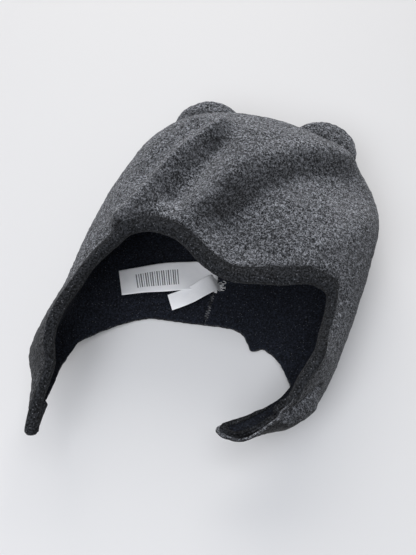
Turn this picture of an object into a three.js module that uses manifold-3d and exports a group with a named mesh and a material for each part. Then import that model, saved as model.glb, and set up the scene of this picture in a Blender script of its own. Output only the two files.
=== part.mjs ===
// A baby's lined fleece hat with two round ears and long ear flaps that taper into chin straps. It lies on
// its back on a table: +Y points from the nape to the crown, +Z up out of the face opening, and the table is
// at z = 0.
import * as THREE from "three";
import { mergeVertices } from "three/addons/utils/BufferGeometryUtils.js";
import loadManifold from "manifold-3d";

const kernel = await loadManifold();
kernel.setup();
const { Manifold } = kernel;

// ---- Sizes, in millimetres
const OUTER_CLOTH = 2.2; // heathered outer fleece
const LINING_CLOTH = 1.9; // black lining fleece
const BAND_CLOTH = 1.3; // black band folded over the face edge
const BAND_WIDTH = 7; // how far the band reaches in from the edge, on both faces
const PLY_GAP = 0.45; // between two cloths that lie on each other
const FOLD_ROOM = 1.2; // between the cloths' cut edges and the fold of the band
const SEAM_GAP = 0.5; // between two pieces that are sewn edge to edge
const EAR_HALF_WIDTH = 27.5;
const EAR_THICKNESS = 6.5; // two plies of fleece, turned and pressed
const EAR_ROOT = 9; // how far behind its middle an ear still meets the crown
const LABEL_CLOTH = 0.5; // woven satin ribbon

const ORIGIN = { x: 2.5, y: 7 }; // the part's own origin is under the middle of the hat

// ---- Facets
const COLUMNS = 64; // round the hat's edge
const ROWS = 14; // from the crown point down to the edge
const COLUMN_BEND = 2.5; // above 1, the columns turn toward their own place of the edge late

// ---- The hat's form, as girth lines from the crown point (first row) to the tips of the chin straps (last
// row), each line in a right and a left half. The places are [x, y, z]: side is the half's outermost one,
// front the one over the face, and back the one on the table (pressed flat where it is below 0). square is 2
// for an ellipse and more for a boxier line. Below row 7 a half is a flap alone: its front and back are never
// reached, and only steer the flap's two edges.
const RIGHT_HALF = [
  { side: [14, 132, 46], front: [14, 132, 46], back: [14, 132, 46], square: 2 },
  { side: [50, 128, 45], front: [10, 129, 61], back: [10, 128, 28], square: 2.1 },
  { side: [80, 115, 43], front: [8, 116, 74], back: [8, 118, 10], square: 2.2 },
  { side: [100, 95, 41], front: [8, 92, 83], back: [8, 98, 0], square: 2.3 },
  { side: [109, 69, 39], front: [8, 60, 87], back: [8, 70, -3], square: 2.4 },
  { side: [108, 38, 37], front: [8, 26, 86], back: [8, 36, -3], square: 2.6 },
  { side: [105, 4, 34], front: [8, -8, 83], back: [8, 4, -3], square: 2.8 },
  { side: [101, -22, 32], front: [18, -32, 88], back: [8, -24, -3], square: 2.6 },
  { side: [97, -47, 30], front: [48, -49, 93], back: [8, -48, -4], square: 2.3 },
  { side: [90, -69, 30], front: [50, -65, 83], back: [14, -54, 2], square: 2.1 },
  { side: [77, -87, 33], front: [56, -82, 66], back: [22, -66, 17], square: 2 },
  { side: [55, -97, 38], front: [42, -108, 48], back: [25, -86, 30], square: 2 },
  { side: [32, -101, 40], front: [36, -112, 43], back: [36, -93, 37], square: 2 },
];
const LEFT_HALF = [
  { side: [14, 132, 46], front: [14, 132, 46], back: [14, 132, 46], square: 2 },
  { side: [-26, 129, 45], front: [10, 129, 61], back: [10, 128, 28], square: 2.1 },
  { side: [-56, 114, 42], front: [8, 116, 74], back: [8, 118, 10], square: 2.2 },
  { side: [-75, 87, 38], front: [8, 92, 83], back: [8, 98, 0], square: 2.3 },
  { side: [-84, 57, 36], front: [8, 60, 87], back: [8, 70, -3], square: 2.4 },
  { side: [-90, 26, 34], front: [8, 26, 86], back: [8, 36, -3], square: 2.6 },
  { side: [-94, -6, 32], front: [8, -8, 83], back: [8, 4, -3], square: 2.8 },
  { side: [-99, -38, 31], front: [0, -34, 87], back: [8, -24, -3], square: 2.6 },
  { side: [-104, -63, 32], front: [-6, -55, 92], back: [8, -48, -4], square: 2.3 },
  { side: [-102, -84, 37], front: [-24, -72, 79], back: [-14, -76, 8], square: 2.1 },
  { side: [-93, -101, 43], front: [-43, -89, 66], back: [-30, -96, 26], square: 2 },
  { side: [-86, -118, 46], front: [-62, -108, 56], back: [-44, -113, 35], square: 2 },
  { side: [-80, -134, 46], front: [-74, -131, 54], back: [-60, -132, 37], square: 2 },
];

// ---- The cut edge: turn is the angle round the hat from the middle of the forehead by its right side (+X)
// to the nape at 180, girth says on which row of the halves the edge lies there, and from is the angle at
// which the grid's column that ends there leaves the crown.
const EDGE = [
  { turn: 0, girth: 6.0, from: 0 },
  { turn: 22, girth: 5.95, from: 22 },
  { turn: 38, girth: 5.85, from: 38 },
  { turn: 46, girth: 6.1, from: 47 },
  { turn: 50, girth: 7.0, from: 55 },
  { turn: 50, girth: 8.2, from: 63 },
  { turn: 50, girth: 9.4, from: 71 },
  { turn: 50, girth: 10.6, from: 79 },
  { turn: 54, girth: 11.3, from: 83 },
  { turn: 68, girth: 11.8, from: 87 },
  { turn: 90, girth: 12, from: 90 },
  { turn: 112, girth: 11.8, from: 93 },
  { turn: 126, girth: 11.3, from: 97 },
  { turn: 130, girth: 10.6, from: 102 },
  { turn: 130, girth: 9.6, from: 112 },
  { turn: 131, girth: 8.8, from: 122 },
  { turn: 139, girth: 8.1, from: 134 },
  { turn: 155, girth: 7.2, from: 152 },
  { turn: 180, girth: 7, from: 180 },
  { turn: 205, girth: 7, from: 207 },
  { turn: 221, girth: 7.3, from: 223 },
  { turn: 229, girth: 7.9, from: 232 },
  { turn: 230, girth: 8.8, from: 240 },
  { turn: 230, girth: 9.8, from: 249 },
  { turn: 230, girth: 10.8, from: 258 },
  { turn: 234, girth: 11.3, from: 263 },
  { turn: 248, girth: 11.8, from: 267 },
  { turn: 270, girth: 12, from: 270 },
  { turn: 292, girth: 11.8, from: 273 },
  { turn: 306, girth: 11.3, from: 277 },
  { turn: 310, girth: 10.6, from: 282 },
  { turn: 310, girth: 9.4, from: 290 },
  { turn: 310, girth: 8.2, from: 299 },
  { turn: 312, girth: 7.2, from: 307 },
  { turn: 317, girth: 6.3, from: 315 },
  { turn: 328, girth: 5.6, from: 328 },
  { turn: 343, girth: 5.6, from: 343 },
];

// ---- Folds of the front, each along a run of places in plan: a ridge (height above 0) or a valley (below)
const FOLDS = [
  { name: "left ridge", height: 5, width: 9, run: [[-18, 106], [-37, 86], [-48, 50], [-58, 14]] },
  { name: "valley beside it", height: -7, width: 9, run: [[-22, 94], [-32, 60], [-40, 28]] },
  { name: "middle ridge", height: 4, width: 10, run: [[-4, 94], [-10, 58], [-18, 33]] },
  { name: "long valley", height: -7, width: 10, run: [[66, 92], [36, 86], [12, 68], [0, 42], [-5, 22]] },
  { name: "side dent", height: -3, width: 14, run: [[83, 79], [84, 74]] },
  { name: "broad mass", height: 4, width: 34, run: [[44, 36], [52, 28]] },
  { name: "forehead dip", height: -7, width: 26, run: [[24, 10], [20, -20]] },
];

// ---- Seams: the ear-to-ear seam of the outer cloth lies on a plane that falls from the crown toward the
// face edge, and the lining's centre seam on an upright plane.
const EAR_SEAM = { heightAtY0: 25, slope: 0.14 };
const CENTRE_SEAM_X = 3;

// ---- Ears: each ear's middle on the crown, and the way it points in plan, in degrees from +Y toward +X
const EARS = [
  { name: "ear_right", x: 56.5, y: 123.5, z: 45, points: 33 },
  { name: "ear_left", x: -31.5, y: 120, z: 46, points: -21 },
];

// ---- Labels: the middle line of each ribbon, from the centre seam to its free end
const LABELS = [
  {
    name: "care_label",
    width: 25,
    line: [
      [7, 15, 6.2],
      [3, 13.5, 11],
      [-9, 12, 14],
      [-26, 9, 13],
      [-46, 2, 10.5],
      [-58, -2.5, 10.5],
      [-68, -6, 13],
    ],
  },
  {
    name: "size_label",
    width: 13,
    line: [
      [6, -2.5, 5.5],
      [0, -4, 8],
      [-9, -6.5, 8],
      [-18, -9.5, 6.8],
      [-27, -13, 6],
    ],
  },
];

// ---- Steps over which the face's slope is measured
const TURN_STEP = 1; // degrees
const GIRTH_STEP = 0.03; // rows

const radians = THREE.MathUtils.degToRad;
const mix = THREE.MathUtils.lerp;

// The point of one girth line at an angle round the hat.
function girthPoint(index, turn) {
  const across = Math.sin(radians(turn));
  const up = Math.cos(radians(turn));
  const line = (across < 0 ? LEFT_HALF : RIGHT_HALF)[index];
  const reach = (Math.abs(across) ** line.square + Math.abs(up) ** line.square) ** (-1 / line.square);
  const end = up < 0 ? line.back : line.front;
  return new THREE.Vector3(
    mix(end[0], line.side[0], Math.abs(across) * reach),
    mix(line.side[1], end[1], Math.abs(up) * reach),
    mix(line.side[2], end[2], Math.abs(up) * reach),
  );
}

// The hat without its folds. Above the crown point the lines come back on the other side.
function plainPoint(turn, girth) {
  const last = RIGHT_HALF.length - 1;
  const start = Math.min(Math.floor(girth), last - 1);
  const points = [-1, 0, 1, 2].map((step) => {
    const index = Math.min(start + step, last);
    return girthPoint(Math.abs(index), index < 0 ? turn + 180 : turn);
  });
  const t = girth - start;
  const weights = [
    (-t + 2 * t * t - t ** 3) / 2,
    (2 - 5 * t * t + 3 * t ** 3) / 2,
    (t + 4 * t * t - 3 * t ** 3) / 2,
    (t ** 3 - t * t) / 2,
  ];
  return points.reduce((sum, p, k) => sum.addScaledVector(p, weights[k]), new THREE.Vector3());
}

// How far the folds lift a place of the front.
function foldHeight(x, y) {
  const place = new THREE.Vector3(x, y, 0);
  const nearest = new THREE.Vector3();
  let height = 0;
  for (const fold of FOLDS) {
    const stops = fold.run.map((stop) => new THREE.Vector3(...stop, 0));
    const gaps = stops.slice(1).map((stop, k) => {
      new THREE.Line3(stops[k], stop).closestPointToPoint(place, true, nearest);
      return nearest.distanceTo(place);
    });
    height += fold.height * Math.exp(-((Math.min(...gaps) / fold.width) ** 2));
  }
  return height;
}

function normalOf(pointAt, turn, girth) {
  const at = Math.max(girth, 2 * GIRTH_STEP);
  const round = pointAt(turn + TURN_STEP, at).sub(pointAt(turn - TURN_STEP, at));
  const down = pointAt(turn, at + GIRTH_STEP).sub(pointAt(turn, at - GIRTH_STEP));
  return down.cross(round).normalize();
}

// The hat's outer face: folded, and pressed flat where it lies on the table.
function facePoint(turn, girth) {
  const point = plainPoint(turn, girth);
  const normal = normalOf(plainPoint, turn, girth);
  const share = THREE.MathUtils.smoothstep(normal.z, 0, 0.7);
  if (share > 0) {
    point.addScaledVector(normal, share * foldHeight(point.x, point.y));
  }
  point.z = Math.max(point.z, 0);
  return point;
}

// ---- The cut edge in equal steps round the hat
const edgeLine = new THREE.CatmullRomCurve3(
  [-2, -1, ...EDGE.keys(), EDGE.length, EDGE.length + 1].map((index) => {
    const lap = Math.floor(index / EDGE.length);
    const row = EDGE[index - lap * EDGE.length];
    return new THREE.Vector3(row.turn + 360 * lap, row.girth, row.from + 360 * lap);
  }),
  false,
  "centripetal",
);

function edgeSteps(count) {
  const fine = [];
  let length = 0;
  let last = null;
  for (const place of edgeLine.getPoints(1600)) {
    const point = facePoint(place.x, place.y);
    length += last && place.x > 0 ? point.distanceTo(last) : 0;
    last = point;
    if (place.x >= 0 && place.x <= 360) {
      fine.push({ turn: place.x, girth: place.y, from: place.z, length });
    }
  }
  const total = fine[fine.length - 1].length;
  return Array.from({ length: count }, (_, i) => {
    const next = fine.findIndex((place) => place.length >= (i / count) * total);
    return fine[next];
  });
}

// ---- The grid of the hat's face: a column for each step of the edge, with its places from the crown down
// and the way out over the edge. The last place but one lies a band's width in from the edge.
function hatGrid(columns, rows) {
  const steps = edgeSteps(columns);
  return steps.map((edge, i) => {
    const placeAt = (t) => ({ turn: mix(edge.from, edge.turn, t ** COLUMN_BEND), girth: edge.girth * t });
    const before = steps[(i + columns - 1) % columns];
    const after = steps[(i + 1) % columns];
    const edgePoint = facePoint(edge.turn, edge.girth);
    const edgeWay = facePoint(after.turn, after.girth)
      .sub(facePoint(before.turn, before.girth))
      .normalize();
    const inner = placeAt(1 - GIRTH_STEP);
    const wayIn = facePoint(inner.turn, inner.girth).sub(edgePoint).divideScalar(GIRTH_STEP);
    const bandShare = Math.min(BAND_WIDTH / wayIn.cross(edgeWay).length(), 0.6 / rows);
    const places = Array.from({ length: rows }, (_, k) => {
      const { turn, girth } = placeAt(k === rows - 1 ? 1 : ((k + 1) / (rows - 1)) * (1 - bandShare));
      return { point: facePoint(turn, girth), normal: normalOf(facePoint, turn, girth) };
    });
    return { turn: edge.turn, places, wayOut: edgeWay.cross(places[rows - 1].normal).normalize() };
  });
}

const grid = hatGrid(COLUMNS, ROWS);
const crown = { point: facePoint(0, 0), normal: new THREE.Vector3() };
grid.forEach((column) => crown.normal.add(column.places[0].normal));
crown.normal.normalize();

// Whether a square of the grid is split from its upper left to its lower right corner, the same way in every
// cloth.
const splitDown = grid.map(({ places }, i) => {
  const next = grid[(i + 1) % COLUMNS].places;
  return places.slice(1).map((place, row) => {
    const downLength = places[row].point.distanceTo(next[row + 1].point);
    return downLength < place.point.distanceTo(next[row].point);
  });
});

const atDepth = (place, depth) => place.point.clone().addScaledVector(place.normal, -depth);

// ---- Solids
function solidOf(corners, faces) {
  const mesh = new kernel.Mesh({
    numProp: 3,
    vertProperties: new Float32Array(corners.flatMap((corner) => corner.toArray())),
    triVerts: new Uint32Array(faces.flat()),
  });
  return new Manifold(mesh);
}

const splitSquare = (a, b, c, d, down) => (down ? [[a, b, c], [a, c, d]] : [[a, b, d], [b, c, d]]);

// The whole hat as one closed cloth between two depths under its face.
function clothSolid(outerDepth, innerDepth) {
  const corners = [];
  for (const depth of [outerDepth, innerDepth]) {
    corners.push(atDepth(crown, depth));
    grid.forEach(({ places }) => corners.push(...places.map((place) => atDepth(place, depth))));
  }
  const count = corners.length / 2;
  const at = (layer, i, row) => layer * count + (row === 0 ? 0 : 1 + (i % COLUMNS) * ROWS + row - 1);
  const faces = [];
  for (let i = 0; i < COLUMNS; i += 1) {
    faces.push([at(0, i, 0), at(0, i, 1), at(0, i + 1, 1)]);
    faces.push([at(1, i, 0), at(1, i + 1, 1), at(1, i, 1)]);
    for (let row = 1; row < ROWS; row += 1) {
      const [a, b, c, d] = [at(0, i, row), at(0, i, row + 1), at(0, i + 1, row + 1), at(0, i + 1, row)];
      for (const [p, q, r] of splitSquare(a, b, c, d, splitDown[i][row - 1])) {
        faces.push([p, q, r], [p + count, r + count, q + count]);
      }
    }
    faces.push([at(0, i, ROWS), at(1, i, ROWS), at(1, i + 1, ROWS)]);
    faces.push([at(0, i, ROWS), at(1, i + 1, ROWS), at(0, i + 1, ROWS)]);
  }
  return solidOf(corners, faces);
}

// A strip of cloth from its two faces, each given as lines of the same number of corners.
function stripSolid(outsideLines, insideLines, isSplitDown = () => true) {
  const wide = outsideLines[0].length;
  const long = outsideLines.length;
  const under = wide * long;
  const faces = [];
  const square = (a, b, c, d, down = true) => faces.push(...splitSquare(a, b, c, d, down));
  for (let i = 0; i < long - 1; i += 1) {
    const first = i * wide;
    const last = first + wide - 1;
    for (let k = first; k < last; k += 1) {
      const down = isSplitDown(i, k - first);
      square(k, k + 1, k + wide + 1, k + wide, down);
      square(under + k, under + k + wide, under + k + wide + 1, under + k + 1, down);
    }
    square(first, first + wide, under + first + wide, under + first);
    square(last, under + last, under + last + wide, last + wide);
  }
  for (let k = 0; k < wide - 1; k += 1) {
    const end = (long - 1) * wide + k;
    square(k, under + k, under + k + 1, k + 1);
    square(end, end + 1, under + end + 1, under + end);
  }
  return solidOf([...outsideLines.flat(), ...insideLines.flat()], faces);
}

// The band round the face, folded over the edge from one chin strap to the other.
function bandSolid() {
  const deep = OUTER_CLOTH + PLY_GAP + LINING_CLOTH;
  const fold = [
    { inset: 1, depth: -PLY_GAP, out: 0, depthWay: -1, outWay: 0 },
    { inset: 0, depth: -PLY_GAP, out: 0, depthWay: -1, outWay: 0 },
    { inset: 0, depth: -PLY_GAP, out: FOLD_ROOM, depthWay: -0.6, outWay: 0.8 },
    { inset: 0, depth: deep / 2, out: FOLD_ROOM, depthWay: 0, outWay: 1 },
    { inset: 0, depth: deep + PLY_GAP, out: FOLD_ROOM, depthWay: 0.6, outWay: 0.8 },
    { inset: 0, depth: deep + PLY_GAP, out: 0, depthWay: 1, outWay: 0 },
    { inset: 1, depth: deep + PLY_GAP, out: 0, depthWay: 1, outWay: 0 },
  ];
  const rightEnd = grid.findIndex((column) => column.turn > 60);
  const leftEnd = grid.findIndex((column) => column.turn > 300);
  const order = [...grid.keys()];
  const columns = [...order.slice(leftEnd), ...order.slice(0, rightEnd)];
  const lines = [BAND_CLOTH, 0].map((thick) =>
    columns.map((column) =>
      fold.map((stop) =>
        atDepth(grid[column].places[ROWS - 1 - stop.inset], stop.depth + thick * stop.depthWay)
          .addScaledVector(grid[column].wayOut, stop.out + thick * stop.outWay),
      ),
    ),
  );
  return stripSolid(lines[0], lines[1], (i, k) => splitDown[columns[i]][ROWS - 2] === k < fold.length / 2);
}

// A ribbon along its middle line, flat across its width.
function ribbonSolid({ width, line }) {
  const stops = line.map((stop) => new THREE.Vector3(...stop));
  const faces = [LABEL_CLOTH / 2, -LABEL_CLOTH / 2].map((lift) =>
    stops.map((stop, k) => {
      const along = stops[Math.min(k + 1, stops.length - 1)].clone().sub(stops[Math.max(k - 1, 0)]);
      const wideWay = new THREE.Vector3(along.y, -along.x, 0).setLength(width / 2);
      const upWay = wideWay.clone().cross(along).setLength(lift || 1);
      return [-1, 1].map((side) => stop.clone().addScaledVector(wideWay, side).add(upWay));
    }),
  );
  return stripSolid(faces[0], faces[1]);
}

// ---- Meshes
const group = new THREE.Group();
group.name = "baby_hat_with_ears";

function addPiece(name, solid, color, roughness) {
  const { vertProperties, triVerts } = solid.getMesh();
  const geometry = new THREE.BufferGeometry();
  geometry.setAttribute("position", new THREE.BufferAttribute(new Float32Array(vertProperties), 3));
  geometry.setIndex(new THREE.BufferAttribute(new Uint32Array(triVerts), 1));
  geometry.translate(-ORIGIN.x, -ORIGIN.y, 0);
  geometry.computeVertexNormals();
  const mesh = new THREE.Mesh(geometry, new THREE.MeshStandardMaterial({ color, roughness, metalness: 0 }));
  mesh.name = name;
  group.add(mesh);
}

const HEATHER = 0x5f6267;
const BLACK = 0x17181c;
const WHITE = 0xeceae6;

const outerCloth = clothSolid(0, OUTER_CLOTH);
const seamFront = new THREE.Vector3(0, -EAR_SEAM.slope, 1).normalize();
const seamHeight = EAR_SEAM.heightAtY0 * seamFront.z;
const seamBack = seamFront.clone().negate();
const frontCloth = outerCloth.trimByPlane(seamFront.toArray(), seamHeight + SEAM_GAP / 2);
const backCloth = outerCloth.trimByPlane(seamBack.toArray(), SEAM_GAP / 2 - seamHeight);
addPiece("front_panel", frontCloth, HEATHER, 0.95);
addPiece("back_panel", backCloth, HEATHER, 0.95);

const lining = clothSolid(OUTER_CLOTH + PLY_GAP, OUTER_CLOTH + PLY_GAP + LINING_CLOTH);
addPiece("lining_right", lining.trimByPlane([1, 0, 0], CENTRE_SEAM_X + SEAM_GAP / 2), BLACK, 0.95);
addPiece("lining_left", lining.trimByPlane([-1, 0, 0], SEAM_GAP / 2 - CENTRE_SEAM_X), BLACK, 0.95);
addPiece("front_band", bandSolid(), BLACK, 0.9);

// An ear is a flat round cushion with the crown cut out of it.
const crownCloth = clothSolid(-PLY_GAP, EAR_ROOT + 8);
for (const ear of EARS) {
  const cushion = new THREE.SphereGeometry(1, 24, 10);
  cushion.deleteAttribute("normal");
  cushion.deleteAttribute("uv");
  const shape = mergeVertices(cushion, 1e-4);
  const corners = shape.attributes.position;
  const outward = new THREE.Vector3(Math.sin(radians(ear.points)), Math.cos(radians(ear.points)), 0);
  const across = new THREE.Vector3(outward.y, -outward.x, 0);
  const frame = new THREE.Matrix4().makeBasis(across, outward.clone().cross(across), outward);
  const places = Array.from({ length: corners.count }, (_, k) => {
    const corner = new THREE.Vector3().fromBufferAttribute(corners, k);
    const reach = Math.hypot(corner.x, corner.z);
    const plump = Math.sqrt(Math.max(0, 1 - reach ** 5)) * Math.sign(Math.round(corner.y * 1e6));
    corner.set(corner.x * EAR_HALF_WIDTH, (plump * EAR_THICKNESS) / 2, corner.z * EAR_HALF_WIDTH);
    return corner.applyMatrix4(frame).add(new THREE.Vector3(ear.x, ear.y, ear.z));
  });
  const index = Array.from(shape.index.array);
  const faces = Array.from({ length: index.length / 3 }, (_, k) => index.slice(3 * k, 3 * k + 3));
  const rootDepth = outward.dot(new THREE.Vector3(ear.x, ear.y, ear.z)) - EAR_ROOT;
  const cut = solidOf(places, faces).trimByPlane(outward.toArray(), rootDepth);
  addPiece(ear.name, cut.subtract(crownCloth), HEATHER, 0.95);
}

for (const label of LABELS) {
  addPiece(label.name, ribbonSolid(label), WHITE, 0.45);
}

export default group;
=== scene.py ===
import itertools
import math

import bmesh
import bpy
import numpy as np
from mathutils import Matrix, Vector
from mathutils.kdtree import KDTree


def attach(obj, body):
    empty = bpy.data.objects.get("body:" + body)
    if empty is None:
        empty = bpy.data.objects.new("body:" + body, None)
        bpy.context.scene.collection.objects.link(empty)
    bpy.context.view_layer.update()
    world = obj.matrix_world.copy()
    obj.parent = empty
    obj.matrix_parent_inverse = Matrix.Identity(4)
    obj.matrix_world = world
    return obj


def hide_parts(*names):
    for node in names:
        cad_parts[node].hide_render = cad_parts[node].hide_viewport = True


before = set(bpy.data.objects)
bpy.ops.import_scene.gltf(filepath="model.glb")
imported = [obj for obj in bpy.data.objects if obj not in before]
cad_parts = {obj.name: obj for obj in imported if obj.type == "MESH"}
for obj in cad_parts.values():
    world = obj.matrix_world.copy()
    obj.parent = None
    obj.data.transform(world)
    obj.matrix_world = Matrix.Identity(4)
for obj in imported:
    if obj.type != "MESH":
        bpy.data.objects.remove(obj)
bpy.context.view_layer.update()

# A baby's lined fleece hat with two ears, lying on its back on a table. The cloths are worked out in
# millimetres, as layers under one outer face, and become meshes in metres.
MM = 0.001
ORIGIN = np.array([2.5, 7.0, 0.0])  # the part's own origin, in the millimetres of the tables below

# ---- Cloths and seams, in millimetres
OUTER_CLOTH = 2.2
LINING_CLOTH = 1.9
BAND_CLOTH = 1.3
BAND_WIDTH = 7.0
PLY_GAP = 0.45  # between one cloth and the next
FOLD_ROOM = 1.2  # between the cut edge and the binding folded over it
SEAM_GAP = 0.5  # between the two cloths that meet in a seam
LINING_TOP = OUTER_CLOTH + PLY_GAP
HEM = LINING_TOP + LINING_CLOTH  # both cloths together
EAR_SEAM_HEIGHT = 25.0
EAR_SEAM_LEAN = 0.14  # rise for each millimetre toward the crown
EAR_SEAM_POINT = np.array([0.0, 0.0, EAR_SEAM_HEIGHT]) - ORIGIN
EAR_SEAM_WAY = np.array([0.0, -EAR_SEAM_LEAN, 1.0]) / math.hypot(EAR_SEAM_LEAN, 1.0)
EAR_SEAM_DIP = dict(depth=1.0, width=1.3)
CENTRE_SEAM_X = 3.0
CENTRE_SEAM_POINT = np.array([CENTRE_SEAM_X, 0.0, 0.0]) - ORIGIN
CENTRE_SEAM_WAY = np.array([1.0, 0.0, 0.0])
CENTRE_SEAM_DIP = dict(depth=0.8, width=1.2)
PUCKER = dict(share=0.35, size=5.0, seed=31)  # the seams' unevenness, one pucker to a few stitches
BAND_STITCHING = dict(depth=0.7, gap=0.4, width=0.9)  # the line pressed into the outer fleece beside it

# ---- The brushed pile of each cloth: height of its tufts and the size they have
OUTER_NAP = dict(height=0.34, size=2.4, seed=21)
LINING_NAP = dict(height=0.25, size=3.0, seed=41)
BAND_NAP = dict(height=0.2, size=2.4, seed=61)
EAR_NAP = dict(height=0.25, size=2.4, seed=71)
FINER_TUFTS = 0.6  # height of the half-size tufts, as a share of the full-size ones

# ---- The hat's form: girth lines from the crown point to the tips of the chin straps, each with the places
# [x, y, z] of its outermost point, its point over the face and its point on the table.
RIGHT_HALF = [
    dict(side=(14, 132, 46), front=(14, 132, 46), back=(14, 132, 46), square=2.0),
    dict(side=(50, 128, 45), front=(10, 129, 61), back=(10, 128, 28), square=2.1),
    dict(side=(80, 115, 43), front=(8, 116, 74), back=(8, 118, 10), square=2.2),
    dict(side=(100, 95, 41), front=(8, 92, 83), back=(8, 98, 0), square=2.3),
    dict(side=(109, 69, 39), front=(8, 60, 87), back=(8, 70, -3), square=2.4),
    dict(side=(108, 38, 37), front=(8, 26, 86), back=(8, 36, -3), square=2.6),
    dict(side=(105, 4, 34), front=(8, -8, 83), back=(8, 4, -3), square=2.8),
    dict(side=(101, -22, 32), front=(18, -32, 88), back=(8, -24, -3), square=2.6),
    dict(side=(97, -47, 30), front=(48, -49, 93), back=(8, -48, -4), square=2.3),
    dict(side=(90, -69, 30), front=(50, -65, 83), back=(14, -54, 2), square=2.1),
    dict(side=(77, -87, 33), front=(56, -82, 66), back=(22, -66, 17), square=2.0),
    dict(side=(55, -97, 38), front=(42, -108, 48), back=(25, -86, 30), square=2.0),
    dict(side=(32, -101, 40), front=(36, -112, 43), back=(36, -93, 37), square=2.0),
]
LEFT_HALF = [
    dict(side=(14, 132, 46), front=(14, 132, 46), back=(14, 132, 46), square=2.0),
    dict(side=(-26, 129, 45), front=(10, 129, 61), back=(10, 128, 28), square=2.1),
    dict(side=(-56, 114, 42), front=(8, 116, 74), back=(8, 118, 10), square=2.2),
    dict(side=(-75, 87, 38), front=(8, 92, 83), back=(8, 98, 0), square=2.3),
    dict(side=(-84, 57, 36), front=(8, 60, 87), back=(8, 70, -3), square=2.4),
    dict(side=(-90, 26, 34), front=(8, 26, 86), back=(8, 36, -3), square=2.6),
    dict(side=(-93, -6, 32), front=(8, -8, 83), back=(8, 4, -3), square=2.8),
    dict(side=(-94, -38, 31), front=(0, -34, 87), back=(8, -24, -3), square=2.6),
    dict(side=(-99, -63, 32), front=(-6, -55, 92), back=(8, -48, -4), square=2.3),
    dict(side=(-100.5, -84, 37), front=(-24, -72, 79), back=(-14, -76, 8), square=2.1),
    dict(side=(-91, -101, 43), front=(-43, -89, 66), back=(-30, -96, 26), square=2.0),
    dict(side=(-86, -118, 46), front=(-62, -108, 56), back=(-44, -113, 35), square=2.0),
    dict(side=(-80, -134, 46), front=(-74, -131, 54), back=(-60, -132, 37), square=2.0),
]
LAST_LINE = len(RIGHT_HALF) - 1

# ---- The cut edge: turn round the hat in degrees from the middle of the forehead by the right side, the
# girth line it reaches there, and the turn at which the grid's column leaves the crown.
EDGE = [
    dict(turn=0, girth=6.0, start=0),
    dict(turn=22, girth=5.95, start=22),
    dict(turn=38, girth=5.85, start=38),
    dict(turn=46, girth=6.1, start=47),
    dict(turn=48, girth=7.0, start=55),
    dict(turn=44, girth=8.2, start=63),
    dict(turn=43, girth=9.4, start=71),
    dict(turn=47, girth=10.6, start=79),
    dict(turn=54, girth=11.3, start=83),
    dict(turn=68, girth=11.8, start=87),
    dict(turn=90, girth=12, start=90),
    dict(turn=112, girth=11.8, start=93),
    dict(turn=126, girth=11.3, start=97),
    dict(turn=130, girth=10.6, start=102),
    dict(turn=130, girth=9.6, start=112),
    dict(turn=131, girth=8.8, start=121),
    dict(turn=134, girth=8.3, start=127),
    dict(turn=141, girth=7.7, start=137),
    dict(turn=147, girth=7.38, start=145),
    dict(turn=152, girth=7.22, start=151),
    dict(turn=155.5, girth=7.17, start=155.5),
    dict(turn=158, girth=7.27, start=158),
    dict(turn=160, girth=7.29, start=160),
    dict(turn=161.7, girth=7.15, start=162),
    dict(turn=165, girth=6.92, start=165),
    dict(turn=168, girth=6.83, start=168),
    dict(turn=175, girth=6.82, start=175),
    dict(turn=182, girth=6.88, start=182),
    dict(turn=190, girth=6.95, start=190),
    dict(turn=197, girth=7.0, start=197),
    dict(turn=205, girth=7.07, start=205),
    dict(turn=210, girth=7.2, start=211),
    dict(turn=217, girth=7.47, start=218),
    dict(turn=226, girth=7.97, start=227.5),
    dict(turn=231, girth=8.36, start=234),
    dict(turn=230.5, girth=8.8, start=240),
    dict(turn=233, girth=9.8, start=249),
    dict(turn=235, girth=10.8, start=258),
    dict(turn=238, girth=11.3, start=263),
    dict(turn=248, girth=11.8, start=267),
    dict(turn=270, girth=12, start=270),
    dict(turn=292, girth=11.8, start=273),
    dict(turn=306, girth=11.3, start=277),
    dict(turn=310, girth=10.6, start=282),
    dict(turn=309.5, girth=9.4, start=290),
    dict(turn=306.5, girth=8.2, start=299),
    dict(turn=308.5, girth=7.2, start=307),
    dict(turn=315.5, girth=6.3, start=315),
    dict(turn=328, girth=5.6, start=328),
    dict(turn=343, girth=5.6, start=343),
]

# ---- Folds of the front: height above 0 for a ridge, along a run of places in plan from the crown to the
# edge, and how far each fades to the left and to the right of its run
FOLDS = [
    dict(
        name="left ridge", height=7.0, left=5.0, right=9,
        run=[(-16, 99), (-24, 88), (-35, 71), (-42, 56), (-48, 40), (-54, 27), (-63, 11)],
    ),
    dict(
        name="valley left of it", height=-3.0, left=8, right=6,
        run=[(-36, 98), (-46, 80), (-53, 62), (-59, 44)],
    ),
    dict(
        name="valley right of it", height=-9.0, left=9, right=13,
        run=[(-21, 76), (-24, 64), (-28, 52), (-32, 41), (-34, 35)],
    ),
    dict(
        name="middle ridge", height=3.5, left=13, right=9,
        run=[(7, 94), (6, 78), (4, 64), (0, 50), (-6, 36)],
    ),
    dict(
        name="brow of the long valley", height=3.0, left=14, right=8,
        run=[(76, 108), (60, 103), (44, 95), (30, 86), (17, 75), (9, 64), (4, 54)],
    ),
    dict(
        name="long valley", height=-10.0, left=10.5, right=31,
        run=[(80, 92), (59, 80), (43, 69), (33, 60), (25, 51), (17, 41), (11, 33), (5, 26)],
    ),
    dict(name="side dent", height=-2.5, left=12, right=12, run=[(88, 78), (84, 68)]),
    dict(name="broad mass", height=1.8, left=28, right=28, run=[(62, 44), (50, 28)]),
    dict(
        name="flap ridge", height=2.0, left=9, right=20,
        run=[(100, 60), (93, 49), (83, 35), (73, 20), (64, 6)],
    ),
    dict(name="forehead dip", height=-7.0, left=26, right=26, run=[(24, 10), (20, -20)]),
    dict(name="centre dart", height=-1.0, left=1.4, right=1.4, run=[(10.5, 116), (13, 102), (17, 86)]),
]

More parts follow.
